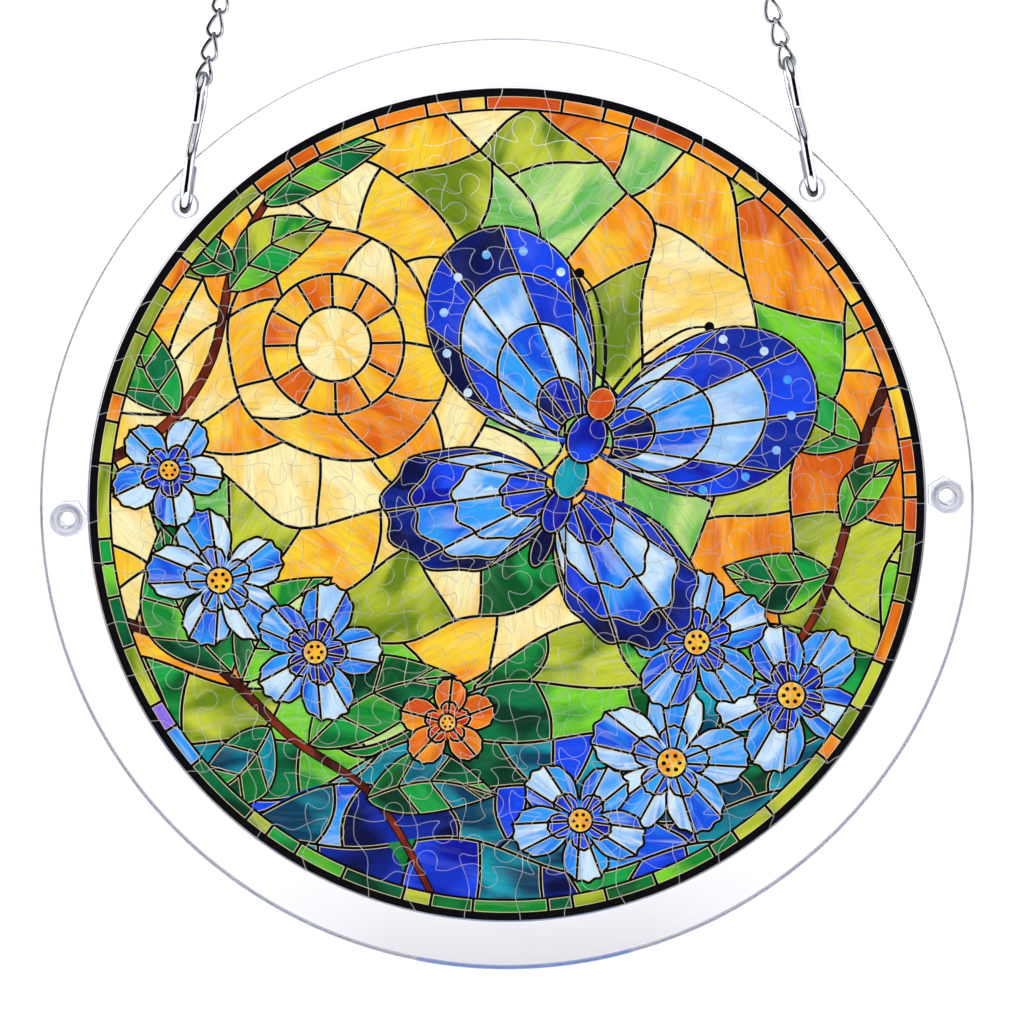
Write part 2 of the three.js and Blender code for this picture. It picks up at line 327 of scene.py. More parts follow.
def dress(piece, slot, *nodes):
    """Rides the piece on the one body in place of the named nodes. The slot argument is not used."""
    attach(piece, "root")
    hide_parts(*nodes)


def place_mesh(piece, matrix):
    """Moves a mesh's points, because a piece's own object stays at the origin."""
    scaled = matrix.copy()
    scaled.translation *= MM
    piece.data.transform(scaled)


def tube(points, radius, sides, closed=False):
    """A round wire around a path, with blunt ends that taper a little."""
    count = len(points)
    along = []
    for k in range(count):
        before = points[k - 1] if closed or k else points[k]
        after = points[(k + 1) % count] if closed or k < count - 1 else points[k]
        along.append((after - before).normalized())
    across = along[0].orthogonal().normalized()
    frames = []
    for k in range(count):
        across = (across - along[k] * across.dot(along[k])).normalized()
        frames.append((across.copy(), along[k].cross(across)))
    twist = 0.0
    if closed:
        back = (across - along[0] * across.dot(along[0])).normalized()
        start = frames[0][0]
        twist = atan2(back.cross(start).dot(along[0]), back.dot(start))
    rings = []
    for k, (side, other) in enumerate(frames):
        turns = [2 * pi * s / sides + twist * k / count for s in range(sides)]
        rings.append([points[k] + (side * cos(a) + other * sin(a)) * radius for a in turns])
    if not closed:
        tip = radius * 0.3
        rings.insert(0, [p.lerp(points[0], 0.3) - along[0] * tip for p in rings[0]])
        rings.append([p.lerp(points[-1], 0.3) + along[-1] * tip for p in rings[-1]])
    vertices = [p for ring in rings for p in ring]
    total = len(rings)
    faces = []
    for k in range(total if closed else total - 1):
        low, high = k * sides, ((k + 1) % total) * sides
        faces += [(low + s, low + (s + 1) % sides, high + (s + 1) % sides, high + s) for s in range(sides)]
    if not closed:
        faces.append(tuple(reversed(range(sides))))
        faces.append(tuple(range((total - 1) * sides, total * sides)))
    return vertices, faces


def lathe(profile, sides):
    """A solid turned about the Y axis from (radius, y) pairs, from one end on the axis to the other."""
    vertices = [Vector((0, profile[0][1], 0)), Vector((0, profile[-1][1], 0))]
    rings = profile[1:-1]
    for radius, y in rings:
        for s in range(sides):
            angle = 2 * pi * s / sides
            vertices.append(Vector((radius * cos(angle), y, radius * sin(angle))))
    faces = []
    last = 2 + (len(rings) - 1) * sides
    for s in range(sides):
        n = (s + 1) % sides
        faces.append((0, 2 + s, 2 + n))
        faces.append((1, last + n, last + s))
        for k in range(len(rings) - 1):
            low, high = 2 + k * sides, 2 + (k + 1) * sides
            faces.append((low + n, low + s, high + s, high + n))
    return vertices, faces


def curve_through(points, steps):
    """A smooth path through the points, with the given steps between each pair."""
    path = []
    for k in range(len(points) - 1):
        p0, p1, p2 = points[max(k - 1, 0)], points[k], points[k + 1]
        p3 = points[min(k + 2, len(points) - 1)]
        for s in range(steps):
            t = s / steps
            bend = (p2 - p0) * t + (2 * p0 - 5 * p1 + 4 * p2 - p3) * t * t
            bend = bend + (3 * p1 - p0 - 3 * p2 + p3) * t * t * t
            path.append(p1 + 0.5 * bend)
    return path + [points[-1]]


# Outlines in the disc's plane, as arrays of points


joined = np.concatenate


def polar(angle):
    return np.stack((np.cos(angle), np.sin(angle)), -1)


def circle(radius, count=None, centre=(0, 0)):
    count = count or max(16, int(radius * 5))
    return np.array(centre) + radius * polar(2 * np.pi * np.arange(count) / count)


def lengths(vectors):
    return np.linalg.norm(vectors, axis=-1)


def turned_area(outline):
    x, z = outline.T
    return 0.5 * float(np.sum(x * np.roll(z, -1) - np.roll(x, -1) * z))


def unit(vectors):
    return vectors / np.maximum(np.linalg.norm(vectors, axis=-1, keepdims=True), 1e-9)


def grow(outline, distance):
    """The outline moved outwards by a distance, or inwards by a negative one."""
    turn = 1 if turned_area(outline) > 0 else -1
    ahead = unit(np.roll(outline, -1, 0) - outline)
    behind = np.roll(ahead, 1, 0)
    outward_ahead = np.stack((ahead[:, 1], -ahead[:, 0]), 1) * turn
    outward_behind = np.stack((behind[:, 1], -behind[:, 0]), 1) * turn
    middle = unit(outward_ahead + outward_behind)
    spread = np.maximum(np.sum(middle * outward_ahead, 1, keepdims=True), 0.5)
    return outline + middle * distance / spread


def inside(points, contours):
    """Which of the points lie inside an odd number of the contours."""
    hit = np.zeros(len(points), bool)
    px, pz = points[:, :1], points[:, 1:]
    for contour in contours:
        x0, z0 = contour.T
        x1, z1 = np.roll(x0, -1), np.roll(z0, -1)
        spans = (z0 > pz) != (z1 > pz)
        slope = (x1 - x0) / np.where(z1 == z0, 1e-12, z1 - z0)
        hit ^= (np.sum(spans & (px < x0 + (pz - z0) * slope), 1) % 2).astype(bool)
    return hit


def triangulate(points, edges):
    found = delaunay_2d_cdt([Vector(p) for p in points], edges, [], 0, 1e-5, False)
    corners = np.array([tuple(v) for v in found[0]])
    return corners, np.array([f for f in found[2] if len(f) == 3], int)


def chain_edges(count, first=0):
    return [(first + k, first + (k + 1) % count) for k in range(count)]


# The print: layers laid from back to front. Each has contours, two colours, its milkiness, and a flow.

GLASS = {
    "cream": ("fff3b4", "ffd458", 0.30),
    "yellow": ("ffd630", "fb9a06", 0.20),
    "amber": ("ffa612", "de6200", 0.12),
    "orange": ("fd8c10", "d85004", 0.05),
    "red": ("f2440e", "a81402", 0.03),
    "olive": ("c8d238", "6e8c10", 0.14),
    "pale_green": ("cdea88", "66bf54", 0.28),
    "leaf": ("7cd82a", "0c9030", 0.10),
    "green": ("12a846", "035a26", 0.05),
    "deep_green": ("047c46", "013c24", 0.02),
    "teal": ("06a6b8", "014060", 0.06),
    "navy": ("0628a4", "010a44", 0.02),
    "royal": ("0a48f2", "0410a0", 0.06),
    "sky": ("2ea4ff", "0a50e4", 0.50),
    "ice": ("cdeaff", "46a6fc", 0.80),
    # violet serves only the painted glint in the border tiles
    "violet": ("8f6cf0", "3a22a8", 0.14),
    "brown": ("8e2c0c", "461002", 0.03),
}
INK = {"black": "030304", "line": "e6d8a4"}

layers = []
dice = np.random.default_rng(7)


def lay(contours, ink, flow=None):
    """Adds one layer. Its flow is a direction in degrees, or a centre for streaks that radiate."""
    if ink in GLASS:
        first, second, milky = GLASS[ink]
        paint = linear(first, milky) + linear(second, 1.0)
    else:
        paint = linear(INK[ink], 0.0) + linear(INK[ink], 0.0)
    seed = float(dice.uniform(0, 40))
    if flow is None:
        flow = float(dice.uniform(0, 180))
    layers.append((contours, paint, flow, seed))


def lay_pane(outline, ink, flow=None, came=CAME):
    """One cell of glass, with its black line around it and a cream line inside that."""
    lay([grow(outline, came / 2)], "black")
    lay([grow(outline, -came / 2)], "line")
    lay([grow(outline, -came / 2 - HIGHLIGHT)], ink, flow)


def fan(centre, direction, spread, reach, bands, splits, inks, waist=0.45, ruffle=0.0, root=0.12, skew=0.0):
    """A petal or wing: cells between rays from a centre, in bands that follow its outline."""
    edges = [np.linspace(splits[n], splits[n + 1], 13) for n in range(len(splits) - 1)]
    for n, share in enumerate(edges):
        angle = np.radians(direction + spread * (share - 0.5))
        limit = reach * np.sin(np.pi * np.clip(share, 0.004, 0.996)) ** waist
        limit = limit * (1 + ruffle * np.sin(share * np.pi * 7) ** 2) * (1 + skew * (share - 0.5))
        for b in range(len(bands) - 1):
            low = np.maximum(limit * bands[b], root * reach * (b == 0))
            outer = limit * bands[b + 1]
            if np.max(outer - low) < 1.2:
                continue
            rim = np.array(centre) + outer[:, None] * polar(angle)
            foot = np.array(centre) + np.minimum(low, outer - 0.05)[:, None] * polar(angle)
            outline = joined((rim, foot[::-1]))
            lay_pane(outline, inks[b][n % len(inks[b])], tuple(centre), CAME * 0.9)


def leaf(foot, tip, width, inks, cells=4, bow=0.12):
    """A pointed leaf of two halves, with side veins that slant towards the tip."""
    foot, tip = np.array(foot, float), np.array(tip, float)
    run = tip - foot
    length = float(np.linalg.norm(run))
    ahead = run / length
    left = np.array((-ahead[1], ahead[0]))

    def rib(t):
        return foot + t[:, None] * run + (bow * length * np.sin(np.pi * t))[:, None] * left

    def margin(t, side):
        half = width / 2 * np.sin(np.pi * np.clip(t, 0, 1) ** 0.85) ** 0.9
        return rib(t) + side * half[:, None] * left

    marks = np.linspace(0, 1, cells + 1)
    slant = 0.16
    for side in (1, -1):
        for n in range(cells):
            inner = rib(np.linspace(marks[n], marks[n + 1], 6))
            low = marks[n] + slant * (n > 0)
            high = min(1.0, marks[n + 1] + slant * (n < cells - 1))
            outer = margin(np.linspace(high, low, 10), side)
            if n == 0:
                outer = outer[:-1]
            if n == cells - 1:
                inner = inner[:-1]
            heading = degrees(atan2(ahead[1], ahead[0])) + side * 38
            outline = joined((inner, outer))
            lay_pane(outline, inks[(n + (side > 0)) % len(inks)], heading, CAME * 0.85)


def band_along(points, width, ink):
    """A stem or feeler: a narrow strip along a curve."""
    path = np.array(curve_through([np.array(p, float) for p in points], 6))
    ahead = unit(np.gradient(path, axis=0))
    left = np.stack((-ahead[:, 1], ahead[:, 0]), 1)
    taper = np.linspace(1.0, 0.55, len(path))[:, None] * width / 2
    outline = joined((path + left * taper, (path - left * taper)[::-1]))
    if ink != "black":
        lay([grow(outline, 0.3)], "black")
    lay([outline], ink, 90.0)


def wandering(points):
    """A slow shift that makes the background's lines wave together. It dies away at the sun."""
    x, z = points[:, 0], points[:, 1]
    away = lengths(points - np.array(SUN)) - SUN_R
    share = np.clip(away / SUN_CALM, 0, 1)
    sideways = 3.4 * np.sin(0.085 * z + 0.05 * x + 1) + 1.3 * np.sin(0.21 * z - 0.13 * x)
    upwards = 3.4 * np.sin(0.095 * x - 0.06 * z + 2) + 1.3 * np.sin(0.19 * x + 0.16 * z + 1)
    return points + np.stack((sideways * share, upwards * share), 1)


PICTURE_R = PUZZLE_R - BLACK_RING - TILE_RING - RING_LINE
SUN = (-36.0, 36.0)
SUN_R = 15.0
SUN_CALM = 22.0  # the background waves fully from this far outside the sun
SKY_RINGS = (SUN_R, 24.0, 36.0, 51.0, 68.0, 87.0, 107.0, 130.0, 156.0)
SKY_INKS = (
    ("yellow", "cream", "yellow", "amber"),
    ("cream", "yellow", "cream"),
    ("cream", "pale_green", "olive", "yellow", "cream"),
    ("yellow", "pale_green", "olive", "cream", "green"),
    ("cream", "yellow", "pale_green", "amber", "leaf", "yellow"),
    ("amber", "olive", "cream", "leaf", "pale_green", "yellow"),
    ("olive", "amber", "yellow", "pale_green", "amber", "olive"),
    ("amber", "leaf", "olive", "yellow"),
)


def lay_sky():
    """Rings of cells around the sun, offset like bricks, with curved and slanting sides."""
    for k in range(len(SKY_RINGS) - 1):
        low, high = SKY_RINGS[k], SKY_RINGS[k + 1]
        count = int(round(2 * pi * (low + high) / 2 / (13.0 + 1.0 * k)))

        def side(n):
            middle = n + 0.5 * (k % 2) + 0.2 * sin(2.7 * (n % count) + k)
            slant = 0.35 * sin(1.9 * (n % count) + 2.2 * k)
            return 2 * pi * middle / count, 2 * pi * slant / count

        for n in range(count):
            (start, lean), (end, lean_next) = side(n), side(n + 1)
            across = np.linspace(0, 1, 8)
            foot = low * polar(np.linspace(start - lean, end - lean_next, 9))
            crest = high * polar(np.linspace(start + lean, end + lean_next, 9))
            reach = low + (high - low) * across
            right = reach[:, None] * polar(end + lean_next * (2 * across - 1))
            left = reach[:, None] * polar(start + lean * (2 * across - 1))
            outline = joined((foot[:-1], right[:-1], crest[:0:-1], left[:0:-1]))
            outline = wandering(np.array(SUN) + outline)
            if np.min(lengths(outline)) < PICTURE_R:
                lay_pane(outline, SKY_INKS[k][n % len(SKY_INKS[k])])


def lay_sun():
    rays = 12
    heart = SUN_R * 0.53
    for n in range(rays):
        angle = np.linspace(2 * pi * n / rays, 2 * pi * (n + 1) / rays, 7)
        outline = np.array(SUN) + joined((heart * polar(angle), SUN_R * polar(angle[::-1])))
        lay_pane(outline, ("yellow", "amber")[n % 2], SUN)
    lay_pane(circle(heart, 40, SUN), "cream", SUN)


HILL_LEVELS = (-32.0, -43.0, -53.0, -63.0, -74.0, -93.0)
HILL_INKS = (
    ("leaf", "green", "olive", "leaf", "pale_green"),
    ("green", "teal", "deep_green", "leaf"),
    ("teal", "deep_green", "teal", "royal", "teal"),
    ("navy", "teal", "royal", "teal", "sky"),
    ("teal", "navy", "green", "royal"),
)


def hill_line(k, x):
    wave = (5.5 - 0.5 * k) * np.sin(0.055 * x + 0.9 * k) + 2.2 * np.sin(0.13 * x + 2.3 * k)
    return HILL_LEVELS[k] + wave + 0.06 * x * (k < 3)


def lay_hills():
    """Wavy bands across the foot of the picture, each cut into cells with slanting, curved sides."""
    for k in range(len(HILL_LEVELS) - 1):
        places = np.arange(-96, 97, 15.0 - k) + 6 * (k % 2)
        places = places + 3.2 * np.sin(2.3 * np.arange(len(places)) + 1.7 * k)
        leans = 7.0 * np.sin(1.7 * np.arange(len(places)) + 1.1 * k)
        across = np.linspace(0, 1, 9)

        def side(n):
            x = places[n] + leans[n] * across + 2.0 * sin(2.9 * n + k) * np.sin(np.pi * across)
            return np.stack((x, (1 - across) * hill_line(k, x) + across * hill_line(k + 1, x)), 1)

        for n in range(len(places) - 1):
            left, right = side(n), side(n + 1)
            top = np.linspace(left[0, 0], right[0, 0], 12)[1:-1]
            foot = np.linspace(right[-1, 0], left[-1, 0], 12)[1:-1]
            crest = np.stack((top, hill_line(k, top)), 1)
            base = np.stack((foot, hill_line(k + 1, foot)), 1)
            outline = joined((left[::-1], crest, right, base))
            if np.min(lengths(outline)) < PICTURE_R:
                lay_pane(outline, HILL_INKS[k][n % len(HILL_INKS[k])], 14.0 * sin(n + k))


def lay_flower(centre, reach, inks, petals=5, turn=0.0, heart="yellow"):
    """A round flower of broad, overlapping petals, each in two bands, with a small heart."""
    for n in range(petals):
        fan(
            centre,
            turn + 360 * n / petals + 6 * sin(3 * n + turn),
            82,
            reach * (1 + 0.06 * sin(2 * n + turn)),
            (0.0, 0.48, 1.0),
            (0.0, 0.36, 0.66, 1.0) if reach > 12 else (0.0, 0.5, 1.0),
            (inks[:1], inks[1:]),
            waist=0.34,
            ruffle=0.04,
            root=0.16,
        )
    lay_pane(circle(reach * 0.19, 26, centre), heart, centre, CAME * 0.8)
    for n in range(6):
        lay([circle(reach * 0.03, 8, np.array(centre) + 0.1 * reach * polar(np.array(n * 1.05)))], "black")


BUTTERFLY = np.array((15.0, 9.0))
BUTTERFLY_LEAN = -24.0  # degrees from upright
UPPER_WING = {"reach": 50.0, "turn": 60.0, "spread": 98.0, "waist": 0.62}
LOWER_WING = {"reach": 38.0, "turn": 130.0, "spread": 96.0, "waist": 0.6}
WING_SKEW = 0.5  # how much longer a wing is on its outer side
WING_SPOTS = 7
SPOT_REACH = 0.89  # of the wing
FEELER = ((17, 1), (26, 4), (35, 10), (38, 15))  # along the body and to its side
BUTTERFLY_BODY = (  # place along the body, length, width and colour
    (-19, 10, 4.4, "navy"),
    (-11, 10, 5.8, "royal"),
    (-3, 10, 7.0, "teal"),
    (6, 11, 8.4, "royal"),
    (14, 7.5, 6.2, "orange"),
)


def lay_wing(side, root, shape, bands, veins, inks, ruffle=0.0):
    fan(
        root,
        90 + BUTTERFLY_LEAN + side * shape["turn"],
        shape["spread"],
        shape["reach"],
        bands,
        np.linspace(0, 1, veins + 1),
        inks,
        shape["waist"],
        ruffle,
        skew=-WING_SKEW * side,
    )


def lay_butterfly():
    """A large blue butterfly with open wings: four fans around a jointed body."""
    up = radians(90 + BUTTERFLY_LEAN)
    ahead, across = polar(np.array(up)), polar(np.array(up - pi / 2))
    lower_inks = (("royal",), ("sky", "ice"), ("ice", "royal", "sky"), ("navy",))
    upper_inks = (("royal", "navy"), ("sky", "ice", "sky"), ("ice", "royal", "ice"), ("navy", "royal"))
    for side in (1, -1):
        lay_wing(side, BUTTERFLY - 5 * ahead, LOWER_WING, (0, 0.36, 0.62, 0.84, 1), 5, lower_inks, 0.05)
    for side in (1, -1):
        root = BUTTERFLY + 5 * ahead
        lay_wing(side, root, UPPER_WING, (0, 0.3, 0.55, 0.78, 1), 6, upper_inks)
        for n in range(WING_SPOTS):
            share = 0.2 + 0.6 * n / (WING_SPOTS - 1)
            angle = up + radians(side * UPPER_WING["turn"] + UPPER_WING["spread"] * (share - 0.5))
            reach = SPOT_REACH * UPPER_WING["reach"] * sin(pi * share) ** UPPER_WING["waist"]
            reach *= 1 - WING_SKEW * side * (share - 0.5)
            lay([circle(0.95, 12, root + reach * polar(np.array(angle)))], "ice", 0.0)
        feeler = [BUTTERFLY + a * ahead + side * b * across for a, b in FEELER]
        band_along(feeler, 0.8, "black")
        lay([circle(1.1, 12, feeler[-1])], "black")
    for place, length, width, ink in BUTTERFLY_BODY:
        angle = 2 * np.pi * np.arange(28) / 28
        outline = BUTTERFLY + (place + length / 2 * np.sin(angle))[:, None] * ahead
        outline = outline + (width / 2 * np.cos(angle))[:, None] * across
        lay_pane(outline, ink, 90 + BUTTERFLY_LEAN)


STEMS = (
    ((-84, -22), (-66, -30), (-48, -48), (-30, -62), (-18, -84)),
    ((84, 30), (76, 10), (72, -8), (66, -24), (56, -38)),
    ((-86, 12), (-72, 20), (-62, 34), (-56, 56), (-44, 74)),
)
LEAVES = (  # foot, tip, width and colours
    ((-60, -34), (-74, -2), 17, ("green", "deep_green", "leaf")),
    ((-58, -36), (-38, -14), 15, ("leaf", "green", "pale_green")),
    ((-44, -50), (-12, -36), 17, ("green", "leaf", "deep_green")),
    ((-52, -46), (-70, -62), 14, ("deep_green", "teal", "green")),
    ((-32, -62), (-4, -62), 14, ("deep_green", "green", "teal")),
    ((76, 12), (58, 26), 13, ("leaf", "green", "olive")),
    ((72, -6), (84, 8), 9, ("green", "leaf")),
    ((69, -16), (46, -14), 13, ("green", "leaf", "deep_green")),
    ((-70, 22), (-78, 44), 13, ("green", "deep_green", "leaf")),
    ((-58, 48), (-36, 62), 12, ("leaf", "green", "olive")),
    ((-50, 66), (-24, 78), 12, ("green", "leaf", "deep_green")),
    ((-57, 52), (-66, 62), 9, ("deep_green", "green")),
)
BLUE_PETALS = ("royal", "sky", "ice")
PALE_PETALS = ("sky", "ice", "sky")
RED_PETALS = ("red", "orange", "amber")
FLOWERS = (  # centre, reach, colours and turn
    ((34, -56), 17, PALE_PETALS, 10),
    ((60, -42), 16, BLUE_PETALS, 40),
    ((40, -30), 15, BLUE_PETALS, 20),
    ((14, -68), 14, BLUE_PETALS, 55),
    ((-62, -14), 15, PALE_PETALS, 30),
    ((-42, -30), 14, BLUE_PETALS, 0),
    ((-72, 10), 12, BLUE_PETALS, 60),
    ((-14, -46), 10, RED_PETALS, 15),
)


def lay_plants():
    for stem in STEMS:
        band_along(stem, 2.0, "brown")
    for foot, tip, width, inks in LEAVES:
        leaf(foot, tip, width, inks, 4 if width > 10 else 3)
    for centre, reach, inks, turn in FLOWERS:
        lay_flower(centre, reach, inks, turn=turn)


TILE_LENGTHS = (5.3, 9.0, 13.5, 7.2, 16.0, 6.0, 11.0)
GLINT_TILES = (205, 222)  # degrees around the disc where violet and blue tiles paint a reflected glint
WARMEST_TILE = 60


def tile_ink(place, count):
    """Warm tiles at the top right, olive beside them, green below, and a few violet and blue ones at the
    lower left that are a painted glint.
    """
    # Violet and blue tiles here paint a reflected glint into the border.
    if GLINT_TILES[0] < place < GLINT_TILES[1]:
        return ("violet", "sky")[count % 2]
    warm = cos(radians(place - WARMEST_TILE))
    if warm > 0.45:
        return ("amber", "orange", "yellow")[count % 3]
    if warm > -0.35:
        return ("olive", "amber", "olive")[count % 3]
    return ("green", "leaf", "deep_green", "olive")[count % 4]


def lay_border():
    """The black rim, and the traditional ring of small tiles inside it."""
    lay([circle(PUZZLE_R + 2, 360), circle(PICTURE_R, 360)], "black")
    low = PICTURE_R + RING_LINE
    high = low + TILE_RING
    angle = 0.0
    count = 0
    while angle < 2 * pi - 0.01:
        end = angle + TILE_LENGTHS[(count * 3) % len(TILE_LENGTHS)] / low
        if end > 2 * pi - 0.06:
            end = 2 * pi
        steps = np.linspace(angle + CAME / 2 / low, end - CAME / 2 / low, max(3, int((end - angle) * 40)))
        outline = joined((low * polar(steps), high * polar(steps[::-1])))
        middle = degrees((angle + end) / 2)
        lay([outline], "line")
        lay([grow(outline, -HIGHLIGHT)], tile_ink(middle, count), middle + 90)
        angle = end
        count += 1


lay([circle(PUZZLE_R + 4, 240)], "black")
lay_sky()
lay_hills()
lay_sun()
lay_plants()
lay_butterfly()
lay_border()


# The saw lines


def piece_corner(i, j):
    """Where the wandering lines cross, as in the frame."""
    pitch = 2 * PUZZLE_R / PIECES_ACROSS
    x = (i - PIECES_ACROSS / 2) * pitch + WANDER * sin(2.1 * i + 3.7 * j)
    z = (j - PIECES_ACROSS / 2) * pitch + WANDER * sin(4.3 * i + 1.9 * j + 1)
    x += RIM_REACH * ((i == PIECES_ACROSS) - (i == 0))
    z += RIM_REACH * ((j == PIECES_ACROSS) - (j == 0))
    return np.array((x, z))


def saw_edge(i, j, upright):
    """The cut from corner (i, j) to the next one up or to the right, with its locking knob."""
    start = piece_corner(i, j)
    end = piece_corner(i, j + 1) if upright else piece_corner(i + 1, j)
    line, step = (i, j) if upright else (j, i)
    ahead = unit(end - start)
    left = np.array((-ahead[1], ahead[0]))
    side = 1 if (line + step) % 2 else -1
    seed = 12.9 * i + 78.2 * j + 37.7 * upright
    drift = 1.1 * sin(seed)
    lean = radians(14 * sin(1.7 * seed))
    middle = (start + end) / 2 + drift * ahead
    if float(np.linalg.norm(middle)) + KNOB_RISE > PUZZLE_R - RIM_CLEAR:
        bulge = 0.9 * side * left
        keys = [start, start * 0.67 + end * 0.33 + bulge, start * 0.33 + end * 0.67 - bulge, end]
        return np.array(curve_through(keys, 5))
    size = 1 + 0.1 * sin(2.3 * seed)

    def local(u, v):
        turned = (u * cos(lean) - v * sin(lean), u * sin(lean) + v * cos(lean))
        return middle + size * (turned[0] * ahead + side * turned[1] * left)

    dip = -0.55 * side * left
    keys = [start, start + 0.45 * (middle - start) + dip, local(-KNOB_NECK, -0.15)]
    for k in range(7):
        angle = radians(90 + KNOB_ARC / 2 - KNOB_ARC * k / 6)
        keys.append(local(KNOB_R * cos(angle), KNOB_RISE + KNOB_R * sin(angle)))
    keys += [local(KNOB_NECK, -0.15), end + 0.45 * (middle - end) + dip, end]
    return np.array(curve_through(keys, 4))


def cell_outline(i, j):
    """The outline of the cell up and right of corner (i, j), as the saw leaves it."""
    bottom, right = saw_edge(i, j, False), saw_edge(i + 1, j, True)
    top, left = saw_edge(i, j + 1, False)[::-1], saw_edge(i, j, True)[::-1]
    return joined((bottom[:-1], right[:-1], top[:-1], left[:-1]))


def open_edges(triangles):
    """The directed edges that only one triangle has."""
    edges = {(t[k], t[(k + 1) % 3]) for t in triangles.tolist() for k in range(3)}
    return [edge for edge in edges if (edge[1], edge[0]) not in edges]


def largest_loop(corners, triangles):
    """The biggest outline around the triangles."""
    following = defaultdict(list)
    for a, b in sorted(open_edges(triangles)):
        following[a].append(b)
    best = None
    while following:
        start = next(iter(following))
        loop, here = [], start
        while following.get(here):
            loop.append(here)
            there = following[here].pop()
            if not following[here]:
                del following[here]
            here = there
            if here == start:
                break
        outline = corners[loop]
        if best is None or abs(turned_area(outline)) > abs(turned_area(best)):
            best = outline
    return best


RIM = circle(PUZZLE_R, 720)


def joined_outline(outlines):
    """The outline of several cells together, cut by the puzzle's round rim."""
    low = np.min([o.min(0) for o in outlines], 0) - 2
    high = np.max([o.max(0) for o in outlines], 0) + 2
    points, edges = [], []
    for outline in outlines:
        edges += chain_edges(len(outline), len(points))
        points += [tuple(p) for p in outline]
    near = np.all((RIM > low) & (RIM < high), 1)
    for k in np.nonzero(near & np.roll(near, -1))[0]:
        edges.append((len(points), len(points) + 1))
        points += [tuple(RIM[k]), tuple(RIM[(k + 1) % len(RIM)])]
    corners, triangles = triangulate(points, edges)
    middles = corners[triangles].mean(1)
    within = np.zeros(len(middles), bool)
    for outline in outlines:
        within |= inside(middles, [outline])
    return largest_loop(corners, triangles[within & inside(middles, [RIM])])


def puzzle_pieces():
    """Every piece as column, row and outline. Slivers at the rim join the piece beside them."""
    cells, sizes = {}, {}
    for i in range(PIECES_ACROSS):
        for j in range(PIECES_ACROSS):
            outline = cell_outline(i, j)
            reach = lengths(outline)
            if reach.min() > PUZZLE_R - 0.6:
                continue
            cut = joined_outline([outline]) if reach.max() > PUZZLE_R else outline
            cells[i, j] = outline
            sizes[i, j] = 0 if cut is None else abs(turned_area(cut))
    groups = {place: [place] for place in cells}
    middle = (PIECES_ACROSS - 1) / 2
    for (i, j), size in sizes.items():
        if size < SLIVER:
            sideways = abs(i - middle) > abs(j - middle)
            host = (i + int(np.sign(middle - i)), j) if sideways else (i, j + int(np.sign(middle - j)))
            groups[host] += groups.pop((i, j))
    for (i, j), members in groups.items():
        outlines = [cells[place] for place in members]
        whole = len(members) == 1 and lengths(outlines[0]).max() < PUZZLE_R
        yield i, j, outlines[0] if whole else joined_outline(outlines)


# The puzzle's meshes: the print's layers are cut to each piece

segment_start = joined([c for contours, *_ in layers for c in contours])
segment_end = joined([np.roll(c, -1, 0) for contours, *_ in layers for c in contours])
segment_low = np.minimum(segment_start, segment_end)
segment_high = np.maximum(segment_start, segment_end)
layer_low = np.array([np.min([c.min(0) for c in contours], 0) for contours, *_ in layers])
layer_high = np.array([np.max([c.max(0) for c in contours], 0) for contours, *_ in layers])
paint_table = np.array([paint for _, paint, _, _ in layers])


def overlapping(low, high, box_low, box_high):
    return np.nonzero(np.all((low < box_high) & (high > box_low), 1))[0]


RADIAL_FLOW = 14.0  # streak width per radian where streaks radiate


def flow_of(points, layer):
    """Streak coordinates of points in a layer: along the streaks, across them, and the layer's own seed."""
    flow, seed = layers[layer][2], layers[layer][3]
    if isinstance(flow, tuple):
        away = points - np.array(flow)
        angle = np.arctan2(away[..., 1], away[..., 0])
        middle = np.arctan2(np.sin(angle).mean(1, keepdims=True), np.cos(angle).mean(1, keepdims=True))
        angle = middle + (angle - middle + np.pi) % (2 * np.pi) - np.pi
        along, across = lengths(away), angle * RADIAL_FLOW
    else:
        turn = radians(flow)
        along = points[..., 0] * cos(turn) + points[..., 1] * sin(turn)
        across = points[..., 1] * cos(turn) - points[..., 0] * sin(turn)
    return np.stack((along, across, np.full(along.shape, seed)), -1)


